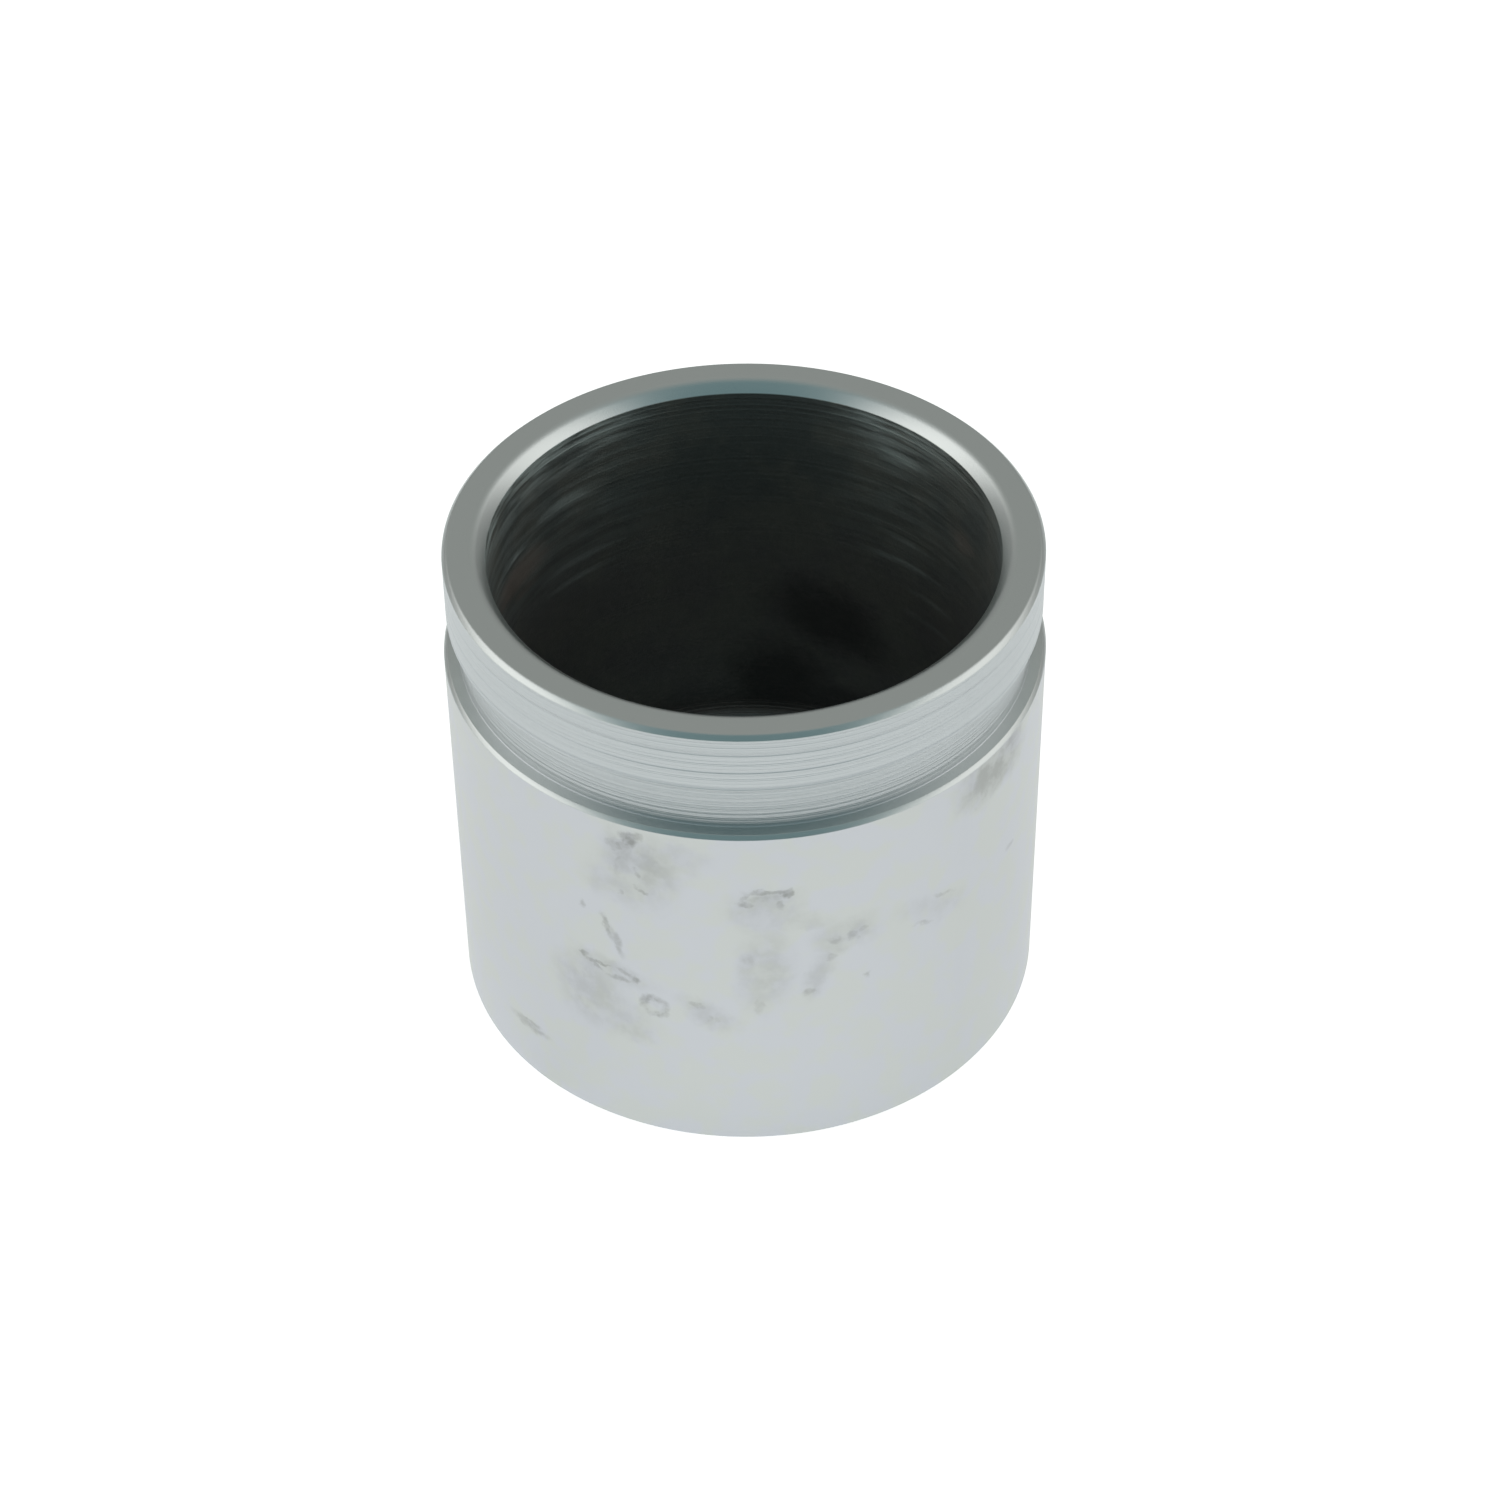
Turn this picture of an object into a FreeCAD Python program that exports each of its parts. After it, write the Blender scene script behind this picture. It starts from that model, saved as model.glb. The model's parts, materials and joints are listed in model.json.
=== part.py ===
import FreeCAD
import Part
import Sketcher
import os

# Brake caliper piston: one steel cup, turned from bar, closed at the foot and open at the rim.
# Millimetres. The piston's axis is Z, the foot lies on Z = 0 and the open end points up.
#
# From the foot upwards the outside is the ground seal surface, a ledge, the boot groove and the
# land under the rim. The inside is a plain bore with a rounded floor corner.

DRIVING_SIZES = [
    # alias, value, what it measures
    ("body_diameter", 54.0, "ground outside that slides in the square seal"),
    ("overall_height", 48.4, "foot to rim face"),
    ("wall", 4.25, "from the ground outside in to the bore"),
    ("floor", 7.4, "closed end, from the foot to the inside floor"),
    ("neck_height", 10.85, "rim face down to the ledge"),
    ("land_height", 6.1, "rim face down to the lower edge of the land"),
    ("land_step", 0.45, "how far the land lies inside the ground outside"),
    ("ledge_width", 1.4, "ground outside in to the wall of the boot groove"),
    ("flank_run", 0.6, "height over which the groove draws in below the land"),
    ("groove_round", 0.25, "inside corner between groove and ledge"),
    ("floor_round", 3.0, "inside corner between bore and floor"),
    ("mouth_chamfer", 1.0, "inner edge of the rim"),
    ("rim_chamfer", 0.4, "outer edge of the rim"),
    ("shoulder_chamfer", 0.2, "outer edge of the ledge"),
    ("foot_chamfer", 0.4, "outer edge of the foot"),
]

# Places that follow from the driving sizes, as expressions on the sheet.
BODY_RADIUS = "sizes.body_diameter / 2"
LAND_RADIUS = "sizes.body_diameter / 2 - sizes.land_step"
GROOVE_RADIUS = "sizes.body_diameter / 2 - sizes.ledge_width"
BORE_RADIUS = "sizes.body_diameter / 2 - sizes.wall"
AXIS = "0"
FOOT = "0"
FLOOR = "sizes.floor"
LEDGE = "sizes.overall_height - sizes.neck_height"
FLANK_FOOT = "sizes.overall_height - sizes.land_height - sizes.flank_run"
LAND_FOOT = "sizes.overall_height - sizes.land_height"
RIM = "sizes.overall_height"

# An edge is found by its circle, and this is how closely its radius and height have to agree.
EDGE_MATCH = 0.001


def make_sheet(document):
    """The sheet of driving sizes, one row each: alias, value, meaning."""
    sheet = document.addObject("Spreadsheet::Sheet", "sizes")
    for row, (alias, value, meaning) in enumerate(DRIVING_SIZES, start=1):
        sheet.set(f"A{row}", alias)
        sheet.set(f"B{row}", str(value))
        sheet.set(f"C{row}", meaning)
        sheet.setAlias(f"B{row}", alias)
    document.recompute()
    return sheet


def origin_plane(body, role):
    """One of the body's own origin planes."""
    for feature in body.Origin.OriginFeatures:
        if feature.Role == role:
            return feature
    raise ValueError(f"the body has no {role}")


def half_section(body, name, corners):
    """A closed half section on the XZ plane, each corner bound to its radius and height."""
    sketch = body.newObject("Sketcher::SketchObject", name)
    sketch.AttachmentSupport = [(origin_plane(body, "XZ_Plane"), "")]
    sketch.MapMode = "FlatFace"
    points = []
    for radius, height in corners:
        x = sketch.evalExpression(radius)
        y = sketch.evalExpression(height)
        points.append(FreeCAD.Vector(x, y, 0))
    count = len(points)
    for index in range(count):
        line = Part.LineSegment(points[index], points[(index + 1) % count])
        sketch.addGeometry(line, False)
    start, end = 1, 2
    for index in range(count):
        joint = Sketcher.Constraint("Coincident", index, end, (index + 1) % count, start)
        sketch.addConstraint(joint)
    sketch_origin = (-1, 1)
    height_axis = -2
    radius_axis = -1
    for index, (radius, height) in enumerate(corners):
        if radius == AXIS:
            on_axis = Sketcher.Constraint("PointOnObject", index, start, height_axis)
            sketch.addConstraint(on_axis)
        else:
            across = Sketcher.Constraint("DistanceX", *sketch_origin, index, start, points[index].x)
            sketch.renameConstraint(sketch.addConstraint(across), f"radius_{index}")
            sketch.setExpression(f"Constraints.radius_{index}", radius)
        if height == FOOT:
            on_foot = Sketcher.Constraint("PointOnObject", index, start, radius_axis)
            sketch.addConstraint(on_foot)
        else:
            up = Sketcher.Constraint("DistanceY", *sketch_origin, index, start, points[index].y)
            sketch.renameConstraint(sketch.addConstraint(up), f"height_{index}")
            sketch.setExpression(f"Constraints.height_{index}", height)
    return sketch


def turn(body, kind, name, sketch):
    """A full turn of the section about the piston's axis, adding or cutting metal."""
    feature = body.newObject(kind, name)
    feature.Profile = sketch
    feature.ReferenceAxis = (sketch, ["V_Axis"])
    feature.Angle = 360
    sketch.Visibility = False
    body.Document.recompute()
    return feature


def round_edge(shape, radius, height):
    """The name of the circular edge at this radius and height."""
    for number, edge in enumerate(shape.Edges, start=1):
        curve = edge.Curve
        if not isinstance(curve, Part.Circle):
            continue
        same_radius = abs(curve.Radius - radius) < EDGE_MATCH
        same_height = abs(curve.Center.z - height) < EDGE_MATCH
        if same_radius and same_height:
            return f"Edge{number}"
    raise ValueError(f"no circular edge of radius {radius} at height {height}")


def dress_edge(body, kind, name, corner, size, amount):
    """A chamfer or a fillet on the edge that the tip has at this corner."""
    before = body.Tip
    radius = before.evalExpression(corner[0])
    height = before.evalExpression(corner[1])
    feature = body.newObject(kind, name)
    feature.Base = (before, [round_edge(before.Shape, radius, height)])
    feature.setExpression(size, amount)
    body.Document.recompute()
    return feature


def make_piston(document):
    """The piston, in the order in which it is turned."""
    body = document.addObject("PartDesign::Body", "piston")
    body.Label = "piston"
    body.Placement = FreeCAD.Placement()

    # Outside: foot, ground surface, ledge, boot groove, land, rim face.
    outside = half_section(body, "outside_section", [
        (AXIS, FOOT),
        (BODY_RADIUS, FOOT),
        (BODY_RADIUS, LEDGE),
        (GROOVE_RADIUS, LEDGE),
        (GROOVE_RADIUS, FLANK_FOOT),
        (LAND_RADIUS, LAND_FOOT),
        (LAND_RADIUS, RIM),
        (AXIS, RIM),
    ])
    turn(body, "PartDesign::Revolution", "turned_outside", outside)

    # Inside: the cup is bored from the rim face down to the floor.
    inside = half_section(body, "bore_section", [
        (AXIS, FLOOR),
        (BORE_RADIUS, FLOOR),
        (BORE_RADIUS, RIM),
        (AXIS, RIM),
    ])
    turn(body, "PartDesign::Groove", "bored_cup", inside)

    # Corners left by the tool's nose. The groove's round stays narrower than the ledge.
    groove_round = "min(sizes.groove_round; 0.8 * (sizes.ledge_width - sizes.shoulder_chamfer))"
    dress_edge(body, "PartDesign::Fillet", "floor_corner", (BORE_RADIUS, FLOOR), "Radius",
               "sizes.floor_round")
    dress_edge(body, "PartDesign::Fillet", "groove_corner", (GROOVE_RADIUS, LEDGE), "Radius",
               groove_round)

    # Broken edges.
    dress_edge(body, "PartDesign::Chamfer", "mouth_edge", (BORE_RADIUS, RIM), "Size",
               "sizes.mouth_chamfer")
    dress_edge(body, "PartDesign::Chamfer", "rim_edge", (LAND_RADIUS, RIM), "Size",
               "sizes.rim_chamfer")
    dress_edge(body, "PartDesign::Chamfer", "shoulder_edge", (BODY_RADIUS, LEDGE), "Size",
               "sizes.shoulder_chamfer")
    dress_edge(body, "PartDesign::Chamfer", "foot_edge", (BODY_RADIUS, FOOT), "Size",
               "sizes.foot_chamfer")
    return body


def check_document(document):
    """Stops if any object failed, or if a step that cuts metal left the volume as it was."""
    for item in document.Objects:
        if "Invalid" in item.State or "Error" in item.State:
            raise RuntimeError(f"{item.Name} failed: {item.State}")
    for name in ("bored_cup", "mouth_edge", "rim_edge", "shoulder_edge", "foot_edge"):
        step = document.getObject(name)
        if step.Shape.Volume >= step.BaseFeature.Shape.Volume:
            raise RuntimeError(f"{name} cut nothing")


def check_shape(body):
    """Stops unless the body is one valid closed solid."""
    shape = body.Shape
    if shape.isNull() or not shape.isValid():
        raise RuntimeError(f"{body.Label} is not a valid shape")
    if len(shape.Solids) != 1:
        raise RuntimeError(f"{body.Label} has {len(shape.Solids)} solids")


document = FreeCAD.newDocument("caliper_piston")
make_sheet(document)
piston = make_piston(document)
document.recompute()
check_document(document)
check_shape(piston)

os.makedirs("parts", exist_ok=True)
piston.Shape.exportStep(f"parts/{piston.Label}.step")
print(piston.Label, "volume", round(piston.Shape.Volume, 1), "mm3")
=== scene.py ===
import json
import math

import bmesh
import bpy
from mathutils import Matrix, Vector


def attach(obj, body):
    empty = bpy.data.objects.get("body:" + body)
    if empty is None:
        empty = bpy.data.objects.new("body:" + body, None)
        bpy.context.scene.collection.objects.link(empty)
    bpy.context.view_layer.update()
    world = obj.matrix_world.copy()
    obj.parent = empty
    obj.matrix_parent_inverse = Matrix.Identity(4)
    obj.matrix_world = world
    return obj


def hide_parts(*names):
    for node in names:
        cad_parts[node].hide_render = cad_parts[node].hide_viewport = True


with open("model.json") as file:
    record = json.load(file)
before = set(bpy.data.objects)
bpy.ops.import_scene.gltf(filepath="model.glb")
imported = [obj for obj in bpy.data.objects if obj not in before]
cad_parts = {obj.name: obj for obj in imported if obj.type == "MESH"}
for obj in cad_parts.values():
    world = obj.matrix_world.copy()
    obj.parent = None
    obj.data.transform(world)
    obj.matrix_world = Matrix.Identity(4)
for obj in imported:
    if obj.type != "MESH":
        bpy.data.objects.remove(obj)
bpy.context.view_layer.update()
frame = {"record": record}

MM = 0.001


# The piston: one cup turned from a steel bar and plated. The long outside is ground to slide in a
# square seal, the neck above it holds the dust boot, and the pad rests on the faced ring round the
# mouth. The bore is left as the boring bar made it, dark and streaked, and its colour also carries
# painted highlights on its sides near the mouth and painted shade deep down.

mounts = {mount["name"]: mount for mount in frame["record"]["mounts"]}


def mount_radius(name):
    return mounts[name]["dims"]["r_mm"] * MM


def mount_end(name):
    """Height of the upper end of a pin or bore mount."""
    return mounts[name]["pos_m"][2] + mounts[name]["dims"]["length_mm"] * MM / 2


def mount_foot(name):
    """Height of the lower end of a pin or bore mount."""
    return mounts[name]["pos_m"][2] - mounts[name]["dims"]["length_mm"] * MM / 2


BODY_RADIUS = mount_radius("seal_surface")
LAND_RADIUS = mount_radius("rim_land")
BORE_RADIUS = mount_radius("bore")
RIM = mounts["rim_face"]["pos_m"][2]
FOOT_BREAK = mount_foot("seal_surface")
GROUND_STOPS_SHORT = 0.2 * MM
LEDGE = mount_end("seal_surface") + GROUND_STOPS_SHORT
SHOULDER_BREAK = 0.32 * MM
LEDGE_WIDTH = 1.4 * MM
GROOVE_RADIUS = BODY_RADIUS - LEDGE_WIDTH
LAND_FOOT = mount_foot("rim_land")
FLANK_RUN = 0.6 * MM
RIM_BREAK = RIM - mount_end("rim_land")
MOUTH_BREAK = RIM - mount_end("bore")
FLOOR_ROUND = 3.0 * MM
CUP_FLOOR = mount_foot("bore") - FLOOR_ROUND
GROOVE_ROUND = 0.08 * MM

STEPS_ROUND = 320
MERGE_WITHIN = 0.001 * MM
SAME_PLACE = 0.01 * MM
EDGE_RADIUS = 0.05 * MM
RIM_EDGE_RADIUS = 0.14 * MM
MOUTH_EDGE_RADIUS = 0.45 * MM

# Half of the section, from the middle of the foot round to the middle of the cup's floor.
half_section = [
    (0, 0),
    (BODY_RADIUS - FOOT_BREAK, 0),
    (BODY_RADIUS, FOOT_BREAK),
    (BODY_RADIUS, LEDGE - SHOULDER_BREAK),
    (BODY_RADIUS - SHOULDER_BREAK, LEDGE),
    (GROOVE_RADIUS, LEDGE),
    (GROOVE_RADIUS, LAND_FOOT - FLANK_RUN),
    (LAND_RADIUS, LAND_FOOT),
    (LAND_RADIUS, RIM - RIM_BREAK),
    (LAND_RADIUS - RIM_BREAK, RIM),
    (BORE_RADIUS + MOUTH_BREAK, RIM),
    (BORE_RADIUS, RIM - MOUTH_BREAK),
    (BORE_RADIUS, CUP_FLOOR),
    (0, CUP_FLOOR),
]

shell = bmesh.new()
corners = [shell.verts.new((radius, 0, height)) for radius, height in half_section]
lines = [shell.edges.new(pair) for pair in zip(corners, corners[1:])]
bmesh.ops.spin(
    shell,
    geom=corners + lines,
    cent=(0, 0, 0),
    axis=(0, 0, 1),
    angle=math.tau,
    steps=STEPS_ROUND,
    use_merge=True,
)
bmesh.ops.remove_doubles(shell, verts=shell.verts, dist=MERGE_WITHIN)
bmesh.ops.recalc_face_normals(shell, faces=shell.faces)


def loop_at(radius, height):
    """The ring of edges at this radius and height."""
    found = []
    for edge in shell.edges:
        if all(
            abs(math.hypot(end.co.x, end.co.y) - radius) < SAME_PLACE
            and abs(end.co.z - height) < SAME_PLACE
            for end in edge.verts
        ):
            found.append(edge)
    return found


def round_off(edges, radius, segments):
    """A round on these edges of the shell."""
    bmesh.ops.bevel(
        shell,
        geom=edges,
        offset=radius,
        offset_type="OFFSET",
        segments=segments,
        profile=0.5,
        affect="EDGES",
        material=-1,
    )


round_off(loop_at(BORE_RADIUS, CUP_FLOOR), FLOOR_ROUND, segments=12)
round_off(loop_at(GROOVE_RADIUS, LEDGE), GROOVE_ROUND, segments=4)
for radius, height in half_section[1:-2]:
    if height == RIM and radius < LAND_RADIUS - RIM_BREAK:
        round_off(loop_at(radius, height), MOUTH_EDGE_RADIUS, segments=6)
    elif height == RIM:
        round_off(loop_at(radius, height), RIM_EDGE_RADIUS, segments=4)
    elif (radius, height) != (GROOVE_RADIUS, LEDGE):
        round_off(loop_at(radius, height), EDGE_RADIUS, segments=2)

# Which finish each face has. The ledge, the flank of the groove and the rim are faced.
GROUND, TURNED, FACED, BORED = 0, 1, 2, 3
MORE_LEVEL_THAN_UPRIGHT = 0.5
for face in shell.faces:
    face.smooth = True
    centre = face.calc_center_median()
    out = math.hypot(centre.x, centre.y)
    level = abs(face.normal.z) > MORE_LEVEL_THAN_UPRIGHT
    if out < BORE_RADIUS + EDGE_RADIUS and centre.z > CUP_FLOOR - EDGE_RADIUS:
        face.material_index = BORED
    elif centre.z < LEDGE - SHOULDER_BREAK - EDGE_RADIUS:
        face.material_index = GROUND
    elif level and out > GROOVE_RADIUS + GROOVE_ROUND:
        face.material_index = FACED
    elif centre.z > RIM - MOUTH_BREAK:
        face.material_index = FACED
    else:
        face.material_index = TURNED

mesh = bpy.data.meshes.new("caliper_piston")
shell.to_mesh(mesh)
shell.free()
piston = bpy.data.objects.new("caliper_piston", mesh)
bpy.context.scene.collection.objects.link(piston)
flat_first = piston.modifiers.new("flat_faces_lead", "WEIGHTED_NORMAL")
flat_first.mode = "FACE_AREA"
flat_first.keep_sharp = True


class Value:
    """A socket in a material. Arithmetic on it adds Math nodes."""

    def __init__(self, tree, socket):
        self.tree = tree
        self.socket = socket

    def node(self, kind, settings, inputs, output=0):
        """A new node: its settings first, then what its sockets hold."""
        new = self.tree.nodes.new(kind)
        for name, setting in settings.items():
            setattr(new, name, setting)
        for name, given in inputs.items():
            if isinstance(given, Value):
                self.tree.links.new(given.socket, new.inputs[name])
            else:
                new.inputs[name].default_value = given
        return Value(self.tree, new.outputs[output])

    def math(self, operation, *operands):
        return self.node("ShaderNodeMath", {"operation": operation}, dict(enumerate(operands)))

    def __add__(self, other):
        return self.math("ADD", self, other)

    __radd__ = __add__

    def __sub__(self, other):
        return self.math("SUBTRACT", self, other)

    def __rsub__(self, other):
        return self.math("SUBTRACT", other, self)

    def __mul__(self, other):
        return self.math("MULTIPLY", self, other)

    __rmul__ = __mul__


def noise(place, size, detail=2.0, roughness=0.5):
    """Smooth random values, mostly 0.3 to 0.7, with features of this size in metres."""
    return place.node(
        "ShaderNodeTexNoise",
        {"noise_dimensions": "3D"},
        {"Vector": place, "Scale": 1 / size, "Detail": detail, "Roughness": roughness},
    )


def fade(value, start, end, low=0.0, high=1.0):
    """Smooth step from low to high while value goes from start to end."""
    return value.node(
        "ShaderNodeMapRange",
        {"interpolation_type": "SMOOTHSTEP"},
        {"Value": value, 1: start, 2: end, 3: low, 4: high},
    )


def blend(share, first, second):
    """Colour that goes from first to second."""
    return share.node(
        "ShaderNodeMix", {"data_type": "RGBA"}, {"Factor": share, 6: first, 7: second}, output=2
    )


def metal(name):
    """A bare metal material: its main node and the place on the piece."""
    material = bpy.data.materials.new(name)
    material.use_nodes = True
    tree = material.node_tree
    main = tree.nodes["Principled BSDF"]
    main.inputs["Metallic"].default_value = 1.0
    place = Value(tree, tree.nodes.new("ShaderNodeTexCoord").outputs["Object"])
    return material, main, place


def feed(main, name, value):
    """Lets a value that changes over the surface drive a socket of the main node."""
    value.tree.links.new(value.socket, main.inputs[name])


def along(vector, axis):
    """The part of a vector along axis 0, 1 or 2."""
    return vector.node("ShaderNodeSeparateXYZ", {}, {"Vector": vector}, output=axis)


CLOSER_ON_A_FACE = 1.7


def rings(place, size, detail=2.0):
    """Random values that change only from turn to turn, up a wall or across a face."""
    level = place.node("ShaderNodeVectorMath", {"operation": "MULTIPLY"}, {0: place, 1: (1, 1, 0)})
    out = place.node("ShaderNodeVectorMath", {"operation": "LENGTH"}, {0: level}, output=1)
    return place.node(
        "ShaderNodeTexNoise",
        {"noise_dimensions": "1D"},
        {"W": along(place, 2) + out * CLOSER_ON_A_FACE, "Scale": 1 / size, "Detail": detail},
    )


def relief(height, depth):
    """Surface directions for a fine relief of this depth in metres."""
    return height.node(
        "ShaderNodeBump", {}, {"Height": height, "Strength": 1.0, "Distance": depth}
    )


def shaken(place, size, amount):
    """The place, moved a little this way and that, which makes outlines ragged."""
    push = place.node(
        "ShaderNodeTexNoise",
        {"noise_dimensions": "3D"},
        {"Vector": place, "Scale": 1 / size, "Detail": 5.0, "Roughness": 0.65},
        output=1,
    )
    push = push.node(
        "ShaderNodeVectorMath", {"operation": "SUBTRACT"}, {0: push, 1: (0.5, 0.5, 0.5)}
    )
    return push.node(
        "ShaderNodeVectorMath",
        {"operation": "MULTIPLY_ADD"},
        {0: push, 1: (2 * amount, 2 * amount, 2 * amount), 2: place},
    )


MARK_DEPTH = 3.0 * MM


def from_middle(place, radius, mark):
    """Distance from the middle of an oval mark on a wall: 0 there, 1 on its outline."""
    azimuth, height, length, breadth, tilt = mark
    turn = math.radians(azimuth)
    middle = (radius * math.sin(turn), -radius * math.cos(turn), height * MM)
    local = place.node(
        "ShaderNodeMapping",
        {"vector_type": "TEXTURE"},
        {
            "Vector": place,
            "Location": middle,
            "Rotation": (0, math.radians(tilt), turn),
            "Scale": (length * MM / 2, MARK_DEPTH, breadth * MM / 2),
        },
    )
    return local.node("ShaderNodeVectorMath", {"operation": "LENGTH"}, {0: local}, output=1)


def filled(place, radius, marks):
    """Soft spots, each given with its place, size, tilt and strength."""
    total = None
    for *mark, strength in marks:
        away = from_middle(place, radius, mark)
        spot = fade(away, start=1.3, end=0.3, high=strength)
        total = spot if total is None else total.math("MAXIMUM", total, spot)
    return total


PLATE_BLUE = (0.645, 0.655, 0.688, 1)
PLATE_GREEN = (0.648, 0.662, 0.650, 1)
DRIED_FLUID = (0.333, 0.333, 0.319, 1)

# Dried fluid on the ground wall: degrees round from the front, height, length and breadth in mm,
# tilt in degrees, strength. The hazes are broad and faint, and the ring has no strength of its own.
DRIED_MARKS = [
    (-25.0, 34.7, 2.2, 1.8, 0, 0.50),
    (-21.9, 35.7, 2.0, 1.9, 0, 0.66),
    (-20.7, 36.3, 1.6, 1.2, 0, 0.55),
    (-23.5, 35.0, 3.6, 1.6, -15, 0.40),
    (-24.2, 32.7, 4.1, 1.0, 95, 0.38),
    (-17.8, 33.0, 2.6, 3.4, 0, 0.34),
    (-20.7, 31.9, 1.6, 0.6, 75, 0.40),
    (-20.0, 30.0, 2.0, 0.6, 28, 0.44),
    (-24.3, 29.3, 1.2, 0.7, 83, 0.35),
    (-32.3, 26.1, 0.9, 1.0, 0, 0.35),
    (-27.1, 24.4, 3.4, 0.7, 74, 0.44),
    (-25.2, 22.9, 4.0, 0.9, 70, 0.36),
    (-32.7, 20.1, 1.2, 1.1, 0, 0.60),
    (-30.4, 19.2, 2.8, 0.7, 34, 0.48),
    (-25.1, 18.4, 3.3, 0.7, 1, 0.48),
    (-28.9, 19.6, 2.6, 0.6, -7, 0.56),
    (-24.3, 19.3, 2.8, 0.8, 21, 0.42),
    (-21.9, 18.7, 1.1, 1.1, 0, 0.55),
    (-48.1, 6.0, 5.5, 1.2, -3, 0.40),
    (-48.2, 6.6, 3.4, 0.5, -9, 0.40),
    (-9.7, 17.1, 1.8, 0.8, 33, 0.36),
    (-7.3, 15.6, 1.2, 1.2, 0, 0.34),
    (-5.6, 15.5, 0.9, 1.0, 0, 0.30),
    (3.7, 31.1, 4.2, 0.6, 1, 0.52),
    (7.2, 30.7, 1.5, 0.8, -50, 0.64),
    (6.3, 31.0, 1.6, 0.7, 0, 0.55),
    (3.4, 30.4, 4.4, 1.5, -4, 0.34),
    (5.7, 29.5, 1.0, 1.1, 0, 0.50),
    (-0.5, 29.7, 1.8, 0.8, 8, 0.48),
    (-0.8, 30.5, 1.6, 0.7, -64, 0.40),
    (-0.2, 23.0, 1.6, 2.4, 0, 0.28),
    (1.9, 17.5, 2.8, 1.0, 90, 0.25),
    (19.8, 24.5, 1.6, 1.6, 0, 0.40),
    (16.1, 24.4, 1.5, 1.6, 0, 0.38),
    (21.6, 25.0, 1.3, 1.0, 0, 0.32),
    (15.1, 22.4, 1.3, 1.3, 0, 0.32),
    (11.3, 18.5, 1.2, 1.0, -20, 0.40),
    (22.9, 19.0, 0.7, 0.8, 0, 0.30),
    (34.7, 22.6, 2.2, 0.6, 17, 0.26),
    (39.7, 24.8, 3.0, 0.6, 17, 0.28),
    (60.4, 23.6, 1.7, 0.8, 0, 0.28),
]
DRIED_HAZES = [
    (-20.0, 33.2, 8.0, 7.0, 0, 0.34),
    (-15.5, 35.0, 9.0, 3.5, 10, 0.18),
    (-23.0, 30.0, 9.0, 5.0, 0, 0.20),
    (-27.0, 19.1, 9.0, 3.0, 10, 0.24),
    (-32.0, 15.6, 8.0, 9.0, 0, 0.26),
    (-25.0, 13.0, 8.0, 5.0, 0, 0.20),
    (-8.0, 16.4, 7.0, 3.0, 35, 0.20),
    (3.0, 29.0, 7.0, 5.0, 0, 0.20),
    (3.0, 22.0, 5.0, 11.0, 0, 0.22),
    (9.0, 27.8, 8.0, 2.0, 12, 0.15),
    (18.8, 24.8, 7.0, 4.0, 0, 0.22),
    (13.2, 20.6, 6.0, 3.0, 108, 0.22),
    (37.0, 24.0, 9.0, 3.0, 17, 0.12),
    (53.5, 35.4, 11.0, 6.0, 0, 0.48),
]
DRIED_RING = (-18.1, 16.2, 2.5, 2.5, 20)

ground, main, place = metal("ground_plate")
tint = fade(noise(place, size=3.0 * MM), start=0.4, end=0.6)
plate = blend(tint, PLATE_BLUE, PLATE_GREEN)
ragged = shaken(place, size=1.4 * MM, amount=0.8 * MM)
dried = filled(ragged, BODY_RADIUS, DRIED_MARKS)
ring = from_middle(ragged, BODY_RADIUS, DRIED_RING)
ring = fade(ring, start=0.4, end=0.8, low=0.1, high=0.5) * fade(ring, start=1.35, end=0.8)
ring = ring * fade(noise(place, size=1.1 * MM), start=0.42, end=0.58, low=0.4)
haze = filled(shaken(place, size=4 * MM, amount=2.2 * MM), BODY_RADIUS, DRIED_HAZES)
patches = noise(place, size=1.8 * MM, detail=5.0, roughness=0.6)
haze = haze * fade(patches, start=0.36, end=0.62, low=0.45, high=1.05)
behind = fade(along(place, 1), start=-8 * MM, end=6 * MM)
cloud = fade(noise(place, size=5.0 * MM, detail=5.0), start=0.54, end=0.76, high=0.25) * behind
dried = dried.math("MAXIMUM", dried, ring)
grain = noise(place, size=0.6 * MM, detail=4.0)
dried = dried * fade(grain, start=0.35, end=0.62, low=0.7, high=1.1)
dried = dried.math("MAXIMUM", dried, haze)
dried = dried.math("MAXIMUM", dried, cloud)
feed(main, "Base Color", blend(dried, plate, DRIED_FLUID))
feed(main, "Roughness", dried * 0.2 + 0.42)
feed(main, "Normal", relief(rings(place, size=0.3 * MM), depth=0.002 * MM))
mesh.materials.append(ground)


# Single turning lines round the neck: distance below the rim and breadth in mm, strength.
TOOL_LINES = [(5.65, 0.5, 1.0), (3.9, 0.5, 0.5), (1.95, 0.4, 0.4), (8.4, 0.4, 0.4)]


def tool_lines(place):
    """The strength of the turning line at this place, and 0 between the lines."""
    total = None
    for below_rim, breadth, strength in TOOL_LINES:
        away = along(place, 2) - (RIM - below_rim * MM)
        away = away.math("ABSOLUTE", away)
        line = fade(away, start=breadth * MM / 2, end=0, high=strength)
        total = line if total is None else total.math("MAXIMUM", total, line)
    return total


TURNED_PLATE = (0.619, 0.643, 0.655, 1)
TURNED_LINE = (0.543, 0.572, 0.590, 1)
FACED_PLATE = (0.649, 0.678, 0.667, 1)

turned, main, place = metal("turned_plate")
lines = tool_lines(place)
feed(main, "Base Color", blend(lines, TURNED_PLATE, TURNED_LINE))
main.inputs["Roughness"].default_value = 0.44
turns = rings(place, size=0.18 * MM) * 0.5 + rings(place, size=0.7 * MM) * 0.9
feed(main, "Normal", relief(turns - lines * 0.5, depth=0.1 * MM))
mesh.materials.append(turned)

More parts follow.
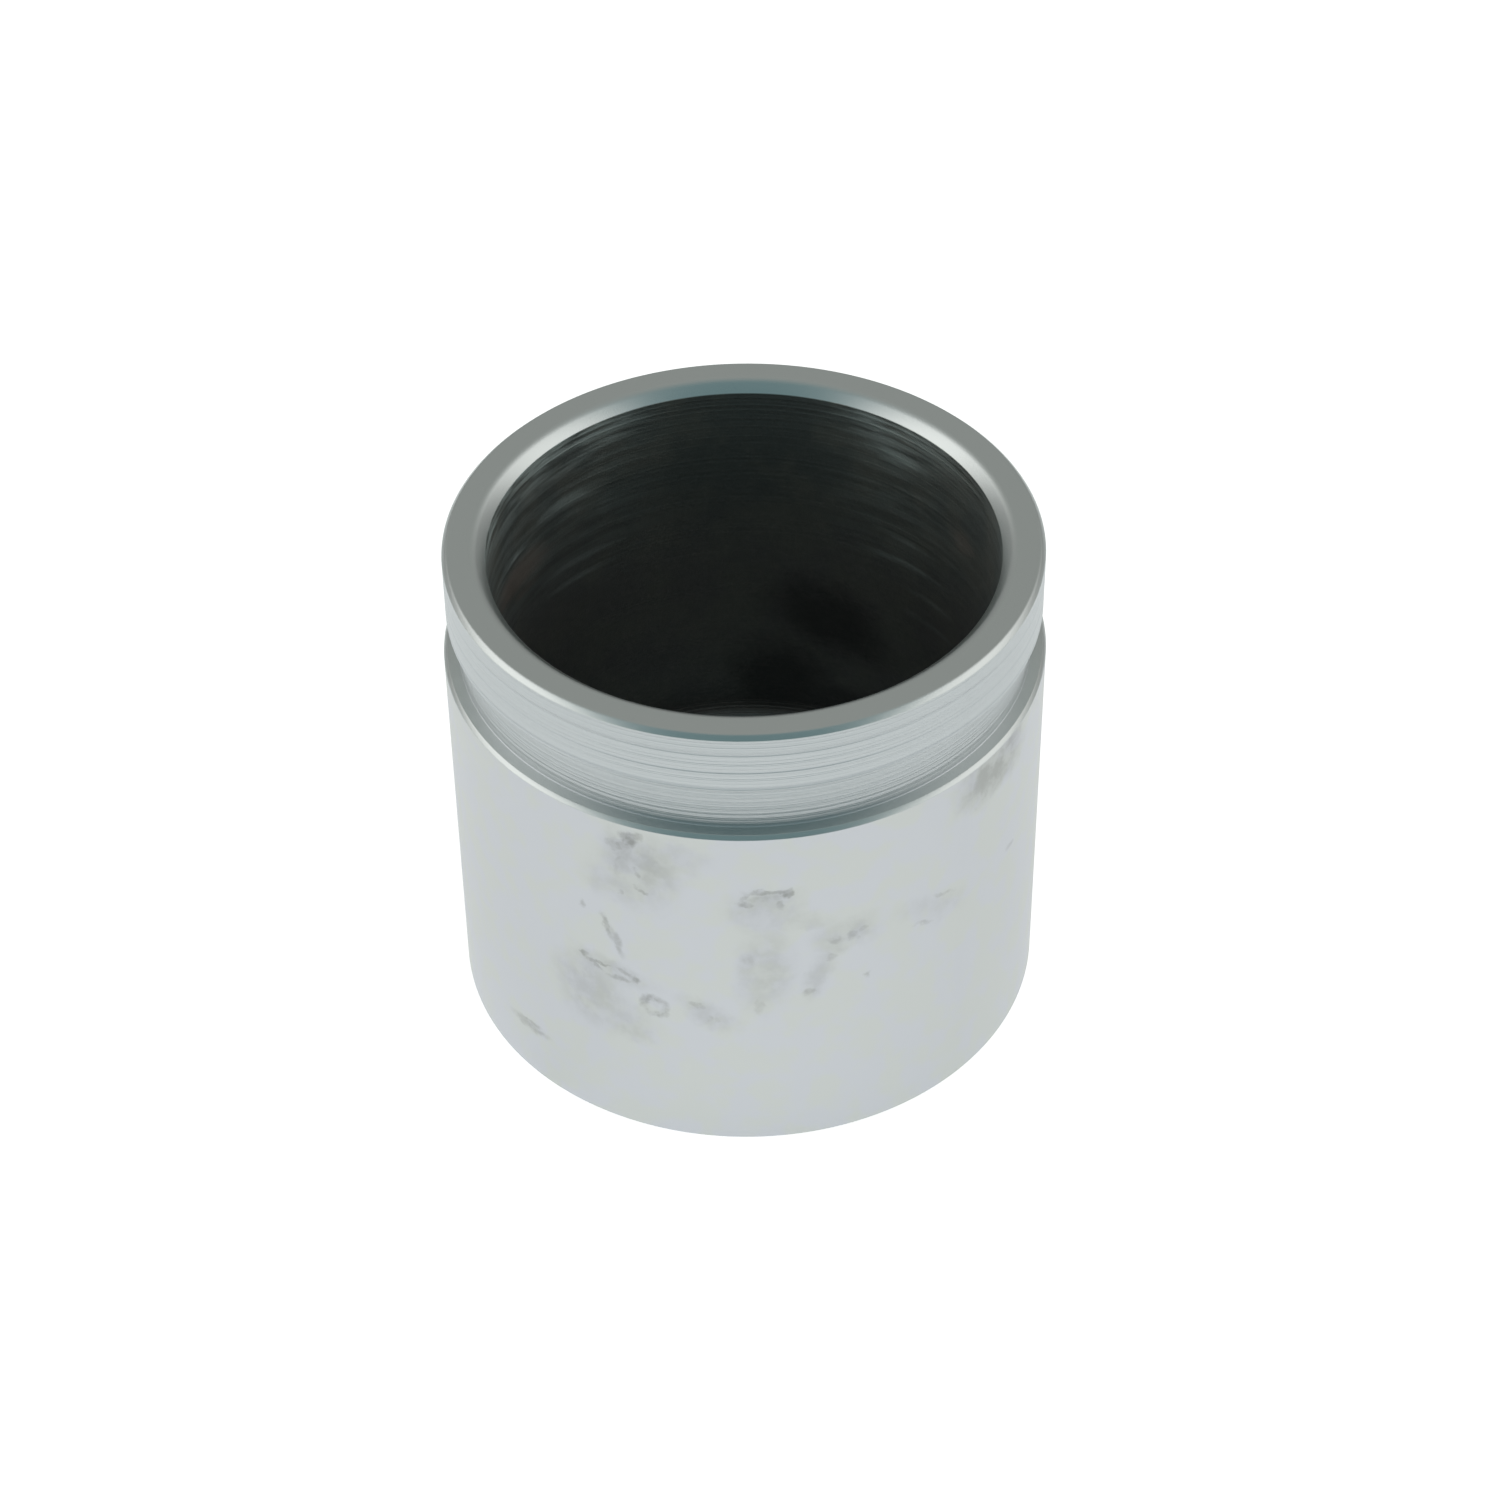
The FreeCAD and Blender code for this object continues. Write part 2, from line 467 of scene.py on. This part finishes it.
faced, main, place = metal("faced_plate")
main.inputs["Base Color"].default_value = FACED_PLATE
main.inputs["Roughness"].default_value = 0.33
feed(main, "Normal", relief(noise(place, size=0.15 * MM), depth=0.012 * MM))
mesh.materials.append(faced)

BORE_DEEP = (0.374, 0.362, 0.356, 1)
BORE_DARK = (0.293, 0.316, 0.308, 1)
# A pale colour used as a painted highlight on the bore's walls.
BORE_PAINTED_HIGHLIGHT = (0.690, 0.759, 0.736, 1)
BORE_OLIVE = (0.414, 0.408, 0.368, 1)
BORE_RUST = (0.644, 0.540, 0.483, 1)
# A near black used as painted shade deep in the bore.
BORE_PAINTED_SHADE = (0.184, 0.178, 0.178, 1)

# Marks in the bore, given as those on the ground wall are. The front is 0, the far wall 180. The
# light arcs are painted highlights along the turning marks on the far walls, left and right.
PAINTED_HIGHLIGHT_ARCS = [
    (139, 34.3, 9.0, 0.9, 0, 0.45),
    (139, 31.6, 11.0, 0.9, 0, 0.5),
    (130, 28.8, 8.0, 0.8, 0, 0.3),
    (130, 26.0, 7.0, 0.8, 0, 0.3),
    (135, 40.2, 10.0, 0.7, 0, 0.3),
    (138, 41.6, 10.0, 0.6, 0, 0.3),
    (141, 43.5, 10.0, 2.0, 0, 0.75),
    (249, 39.4, 10.0, 0.9, 0, 0.8),
    (225, 40.4, 12.0, 2.0, 0, 0.6),
    (222, 33.0, 12.0, 1.0, 0, 0.4),
    (222, 31.0, 10.0, 1.0, 0, 0.4),
]
RUST_MARKS = [
    (246, 36.8, 11.0, 3.8, 0, 0.7),
    (242, 34.5, 5.0, 1.5, 0, 0.3),
    (118, 39.0, 4.0, 3.0, 0, 0.4),
]
# Painted shade: dark patches low on the far wall, where the bore lies in shade.
PAINTED_SHADE_MARKS = [
    (158, 21.5, 15.0, 9.0, -20, 1.0),
    (170, 13.0, 12.0, 12.0, 0, 1.0),
    (155, 11.0, 14.0, 6.0, 0, 0.8),
]
STREAK_STRETCH = 7

bored, main, place = metal("bored_steel")
across = along(place, 0)
# Painted highlight: lighter on the left and right walls, more on the left, and towards the mouth.
painted_lit_sides = across.math("ABSOLUTE", across)
painted_lit_sides = fade(painted_lit_sides, start=0.22 * BORE_RADIUS, end=0.6 * BORE_RADIUS)
painted_lit_sides = painted_lit_sides * fade(across, start=BORE_RADIUS, end=0.55 * BORE_RADIUS, low=0.3)
flat = place.node(
    "ShaderNodeMapping",
    {"vector_type": "POINT"},
    {"Vector": place, "Scale": (1, 1, STREAK_STRETCH)},
)
streaks = noise(flat, size=5 * MM, detail=4.0)
turns = rings(place, size=0.9 * MM, detail=3.0)
pattern = fade(streaks * 0.6 + turns * 0.4, start=0.4, end=0.6, low=0.1)
mouth = fade(along(place, 2), start=42.5 * MM, end=48 * MM, low=0.28)
upper = fade(along(place, 2), start=26 * MM, end=40 * MM)
# The painted highlight, strongest on the sides and at the mouth, broken up by streaks and turning
# marks.
light = painted_lit_sides * upper * mouth * pattern
ragged = shaken(flat, size=6.0 * MM, amount=2.0 * MM)
ragged = ragged.node(
    "ShaderNodeMapping",
    {"vector_type": "POINT"},
    {"Vector": ragged, "Scale": (1, 1, 1 / STREAK_STRETCH)},
)
# Painted highlight arcs along the turning marks on the far walls.
painted_highlight_arcs = filled(ragged, BORE_RADIUS, PAINTED_HIGHLIGHT_ARCS)
light = light.math("MAXIMUM", light, painted_highlight_arcs * fade(streaks, start=0.35, end=0.6, low=0.4))
steel = blend(upper, BORE_DEEP, BORE_DARK)
blotch = fade(noise(place, size=5 * MM), start=0.38, end=0.68, high=0.6)
steel = blend(blotch, steel, BORE_OLIVE)
steel = blend(light, steel, BORE_PAINTED_HIGHLIGHT)
steel = blend(filled(ragged, BORE_RADIUS, RUST_MARKS), steel, BORE_RUST)
# The dark patches low on the far wall are painted shade.
jagged = shaken(place, size=5 * MM, amount=2.2 * MM)
steel = blend(filled(jagged, BORE_RADIUS, PAINTED_SHADE_MARKS), steel, BORE_PAINTED_SHADE)
# Painted shade: the bore turns black towards its bottom.
painted_depth_shade = fade(along(place, 2), start=14 * MM, end=8 * MM, high=0.6)
steel = blend(painted_depth_shade, steel, BORE_PAINTED_SHADE)
feed(main, "Base Color", steel)
feed(main, "Roughness", light * 0.2 + 0.48)
feed(main, "Normal", relief(rings(place, size=0.3 * MM, detail=3.0), depth=0.04 * MM))
mesh.materials.append(bored)

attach(piston, "root")
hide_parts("piston")


# The table top: a plain sheet of matt white paper that the piston stands on. It glows up to white
# where the camera sees it, and keeps the piston's soft shadow. Metal mirrors the glow, less so the
# further it is from the piston.

FLOOR_HALF_WIDTH = 1.5
PAPER = (0.8, 0.8, 0.79, 1)
GLOW = (1, 1, 0.99, 1)
GLOW_SEEN = 0.76
GLOW_NEAR, GLOW_FAR = 0.6, 0.12
NEAR, FAR = 0.07, 0.35

sheet = bmesh.new()
bmesh.ops.create_grid(sheet, x_segments=1, y_segments=1, size=FLOOR_HALF_WIDTH)
floor_mesh = bpy.data.meshes.new("table_top")
sheet.to_mesh(floor_mesh)
sheet.free()
floor = bpy.data.objects.new("table_top", floor_mesh)
bpy.context.scene.collection.objects.link(floor)

paper = bpy.data.materials.new("white_paper")
paper.use_nodes = True
tree = paper.node_tree
main = tree.nodes["Principled BSDF"]
main.inputs["Base Color"].default_value = PAPER
main.inputs["Roughness"].default_value = 1.0
main.inputs["Specular IOR Level"].default_value = 0.0
main.inputs["Emission Color"].default_value = GLOW
rays = tree.nodes.new("ShaderNodeLightPath")
seen = Value(tree, rays.outputs["Is Camera Ray"])
mirrored = Value(tree, rays.outputs["Is Glossy Ray"])
mirrored = mirrored + Value(tree, rays.outputs["Is Transmission Ray"])
mirrored = mirrored.math("MINIMUM", mirrored, 1)
place = Value(tree, tree.nodes.new("ShaderNodeTexCoord").outputs["Object"])
from_piston = place.node("ShaderNodeVectorMath", {"operation": "LENGTH"}, {0: place}, output=1)
lit = fade(from_piston, start=NEAR, end=FAR, low=GLOW_NEAR, high=GLOW_FAR)
feed(main, "Emission Strength", seen * GLOW_SEEN + mirrored * lit)
floor_mesh.materials.append(paper)


# The studio round it: plain grey walls that get lighter upwards, darker and bluer where the camera
# stands, and two broad soft lamps, one at each side and a little to the back.

WALL_LOW = (0.213, 0.217, 0.213, 1)
WALL_HIGH = (0.357, 0.37, 0.357, 1)
WALL_BY_CAMERA = (0.162, 0.255, 0.272, 1)
LEFT_LAMP = (1.33, 1.33, 1.31, 1)
RIGHT_LAMP = (1.18, 1.18, 1.16, 1)
TO_CAMERA = Vector((0, -0.85, 0.5)).normalized()
LAMP_BACK = 0.2
LAMP_EDGE, LAMP_CORE = 0.43, 0.82

surroundings = bpy.data.worlds.new("studio")
surroundings.use_nodes = True
tree = surroundings.node_tree
tree.nodes.clear()
way = Value(tree, tree.nodes.new("ShaderNodeTexCoord").outputs["Generated"])
side, ahead, up = along(way, 0), along(way, 1), along(way, 2)
to_camera = way.node(
    "ShaderNodeVectorMath", {"operation": "DOT_PRODUCT"}, {0: way, 1: TO_CAMERA}, output=1
)
walls = blend(fade(up, start=0.0, end=0.45), WALL_LOW, WALL_HIGH)
walls = blend(fade(to_camera, start=0.1, end=0.85), walls, WALL_BY_CAMERA)
above_edge = fade(up - ahead * 1.5, start=-0.68, end=0.1)
left = fade(ahead * LAMP_BACK - side, start=LAMP_EDGE, end=LAMP_CORE) * above_edge
right = fade(ahead * LAMP_BACK + side, start=LAMP_EDGE, end=LAMP_CORE) * above_edge
sky = blend(left, walls, LEFT_LAMP)
sky = blend(right, sky, RIGHT_LAMP)
light = way.node("ShaderNodeBackground", {}, {"Color": sky, "Strength": 1.0})
out = tree.nodes.new("ShaderNodeOutputWorld")
tree.links.new(light.socket, out.inputs["Surface"])
bpy.context.scene.world = surroundings


# The camera looks down on the rim from the front, as in the photograph. Its lens, height and tilt
# are those that put the rim, the ledge and the foot where the photograph has them.

SENSOR_WIDTH = 36
FOCAL_LENGTH = 89.56
NEAREST = 0.01
DOWN = 41.651
ROLL = -0.7165
EYE = Vector((0.421, -257.345, 252.186)) * MM
PICTURE = 1500
SHIFT_RIGHT, SHIFT_DOWN = 1.0, 1.5

lens = bpy.data.cameras.new("camera")
lens.sensor_width = SENSOR_WIDTH
lens.lens = FOCAL_LENGTH
lens.clip_start = NEAREST
lens.shift_x = -SHIFT_RIGHT / PICTURE
lens.shift_y = SHIFT_DOWN / PICTURE
camera = bpy.data.objects.new("camera", lens)
bpy.context.scene.collection.objects.link(camera)
camera.matrix_world = (
    Matrix.Translation(EYE)
    @ Matrix.Rotation(math.radians(90 - DOWN), 4, "X")
    @ Matrix.Rotation(math.radians(ROLL), 4, "Z")
)
bpy.context.scene.camera = camera
bpy.context.scene.view_settings.view_transform = "Standard"
